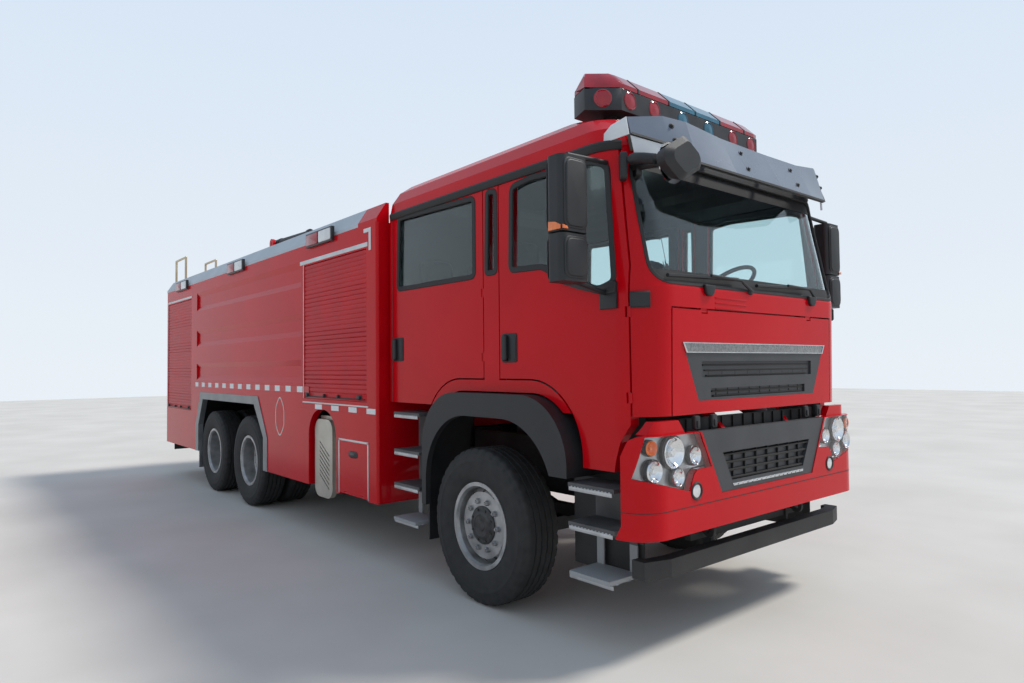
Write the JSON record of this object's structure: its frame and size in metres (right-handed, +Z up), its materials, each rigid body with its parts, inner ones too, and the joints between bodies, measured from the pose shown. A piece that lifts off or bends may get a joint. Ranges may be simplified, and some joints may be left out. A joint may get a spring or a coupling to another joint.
{
  "type": "foam fire truck",
  "caption": "Foam fire truck: tilting crew cab, steered front axle, twin-wheeled rear axles, closed equipment body with roller shutters, roof foam monitor and rear ladder.",
  "frame": {"origin": "on the ground, under the middle of the vehicle's box", "axes": "+X forward, +Y to the driver's side (left), +Z up"},
  "size_m": [10.03, 3.155, 3.6578],
  "materials": {
    "red_paint": "gloss",
    "rail_paint": "satin",
    "dark_steel": "satin",
    "axle_steel": "satin",
    "wheel_steel": "satin",
    "tyre_rubber": "matte",
    "black_plastic": "matte",
    "grey_plastic": "satin",
    "window_glass": "gloss",
    "lamp_lens": "gloss",
    "seat_cloth": "matte",
    "cover_steel": "satin",
    "visor_blue": "gloss",
    "bar_lens": "gloss",
    "ladder_metal": "satin"
  },
  "bodies": {
    "chassis": {"chassis_frame": "dark_steel", "engine_block": "axle_steel", "front_axle": "axle_steel", "leaf_springs": "dark_steel", "rear_axles": "axle_steel", "bumper": "red_paint", "headlamps": "lamp_lens", "lower_grille": "grey_plastic", "underrun_bar": "dark_steel", "cab_steps": "dark_steel", "front_flares": "black_plastic", "body_shell": "red_paint", "top_rails": "rail_paint", "roller_shutters": "red_paint", "arch_trims": "grey_plastic", "silencer_cover": "cover_steel", "fuel_tank": "dark_steel", "ladder": "ladder_metal", "body_lamps": "lamp_lens", "monitor_foot": "red_paint"},
    "cab": {"cab_shell": "red_paint", "cab_glass": "window_glass", "dashboard": "black_plastic", "front_seats": "seat_cloth", "crew_bench": "seat_cloth", "sun_visor": "visor_blue", "light_bar": "bar_lens", "kerb_mirror": "black_plastic"},
    "front_lid": {"front_lid": "red_paint", "upper_grille": "grey_plastic"},
    "monitor_elbow": {"monitor_elbow": "red_paint"},
    "monitor_barrel": {"monitor_barrel": "black_plastic"},
    "rear_door_right": {"rear_door_right": "red_paint", "rear_door_glass_right": "window_glass"},
    "front_door_right": {"front_door_right": "red_paint", "front_door_glass_right": "window_glass", "mirror_right": "black_plastic"},
    "locker_door_right": {"locker_door_right": "red_paint"},
    "knuckle_right": {"knuckle_right": "axle_steel"},
    "front_wheel_right": {"front_wheel_right": "wheel_steel", "front_tyre_right": "tyre_rubber"},
    "middle_wheels_right": {"middle_wheels_right": "wheel_steel", "middle_tyres_right": "tyre_rubber"},
    "rear_wheels_right": {"rear_wheels_right": "wheel_steel", "rear_tyres_right": "tyre_rubber"},
    "rear_door_left": {"rear_door_left": "red_paint", "rear_door_glass_left": "window_glass"},
    "front_door_left": {"front_door_left": "red_paint", "front_door_glass_left": "window_glass", "mirror_left": "black_plastic"},
    "locker_door_left": {"locker_door_left": "red_paint"},
    "knuckle_left": {"knuckle_left": "axle_steel"},
    "front_wheel_left": {"front_wheel_left": "wheel_steel", "front_tyre_left": "tyre_rubber"},
    "middle_wheels_left": {"middle_wheels_left": "wheel_steel", "middle_tyres_left": "tyre_rubber"},
    "rear_wheels_left": {"rear_wheels_left": "wheel_steel", "rear_tyres_left": "tyre_rubber"}
  },
  "joints": [
    {"name": "cab_tilt", "type": "hinge", "parent": "chassis", "child": "cab", "pos_m": [4.71, 0, 1.2], "axis": [0, 1, 0], "range_deg": [0, 50]},
    {"name": "front_lid", "type": "hinge", "parent": "cab", "child": "front_lid", "pos_m": [4.761, 0, 1.942], "axis": [0, -1, 0], "range_deg": [0, 80]},
    {"name": "monitor_swivel", "type": "hinge", "parent": "chassis", "child": "monitor_elbow", "pos_m": [-3.435, 0, 3.35], "axis": [0, 0, 1], "range_deg": [-160, 160]},
    {"name": "monitor_elevation", "type": "hinge", "parent": "monitor_elbow", "child": "monitor_barrel", "pos_m": [-3.435, 0, 3.58], "axis": [0, -1, 0], "range_deg": [-10, 80]},
    {"name": "rear_door_right", "type": "hinge", "parent": "cab", "child": "rear_door_right", "pos_m": [3.307, -1.138, 1.7], "axis": [0, 0, 1], "range_deg": [0, 70]},
    {"name": "front_door_right", "type": "hinge", "parent": "cab", "child": "front_door_right", "pos_m": [4.619, -1.121, 1], "axis": [0, 0, 1], "range_deg": [0, 70]},
    {"name": "locker_door_right", "type": "hinge", "parent": "chassis", "child": "locker_door_right", "pos_m": [1.54, -1.242, 0.513], "axis": [1, 0, 0], "range_deg": [0, 90]},
    {"name": "steering_right", "type": "hinge", "parent": "chassis", "child": "knuckle_right", "pos_m": [3.315, -0.95, 0.535], "axis": [0, 0, 1], "range_deg": [-35, 35]},
    {"name": "front_wheel_right", "type": "hinge", "parent": "knuckle_right", "child": "front_wheel_right", "pos_m": [3.315, -1.07, 0.535], "axis": [0, 1, 0], "continuous": true},
    {"name": "middle_wheels_right", "type": "hinge", "parent": "chassis", "child": "middle_wheels_right", "pos_m": [-1.285, -0.9, 0.535], "axis": [0, 1, 0], "continuous": true},
    {"name": "rear_wheels_right", "type": "hinge", "parent": "chassis", "child": "rear_wheels_right", "pos_m": [-2.635, -0.9, 0.535], "axis": [0, 1, 0], "continuous": true},
    {"name": "rear_door_left", "type": "hinge", "parent": "cab", "child": "rear_door_left", "pos_m": [3.307, 1.138, 1.7], "axis": [0, 0, -1], "range_deg": [0, 70]},
    {"name": "front_door_left", "type": "hinge", "parent": "cab", "child": "front_door_left", "pos_m": [4.619, 1.121, 1], "axis": [0, 0, -1], "range_deg": [0, 70]},
    {"name": "locker_door_left", "type": "hinge", "parent": "chassis", "child": "locker_door_left", "pos_m": [1.54, 1.242, 0.513], "axis": [-1, 0, 0], "range_deg": [0, 90]},
    {"name": "steering_left", "type": "hinge", "parent": "chassis", "child": "knuckle_left", "pos_m": [3.315, 0.95, 0.535], "axis": [0, 0, 1], "range_deg": [-35, 35]},
    {"name": "front_wheel_left", "type": "hinge", "parent": "knuckle_left", "child": "front_wheel_left", "pos_m": [3.315, 1.07, 0.535], "axis": [0, 1, 0], "continuous": true},
    {"name": "middle_wheels_left", "type": "hinge", "parent": "chassis", "child": "middle_wheels_left", "pos_m": [-1.285, 0.9, 0.535], "axis": [0, 1, 0], "continuous": true},
    {"name": "rear_wheels_left", "type": "hinge", "parent": "chassis", "child": "rear_wheels_left", "pos_m": [-2.635, 0.9, 0.535], "axis": [0, 1, 0], "continuous": true}
  ],
  "couplings": [
    {"joint": "steering_left", "follows": "steering_right", "ratio": 1}
  ]
}
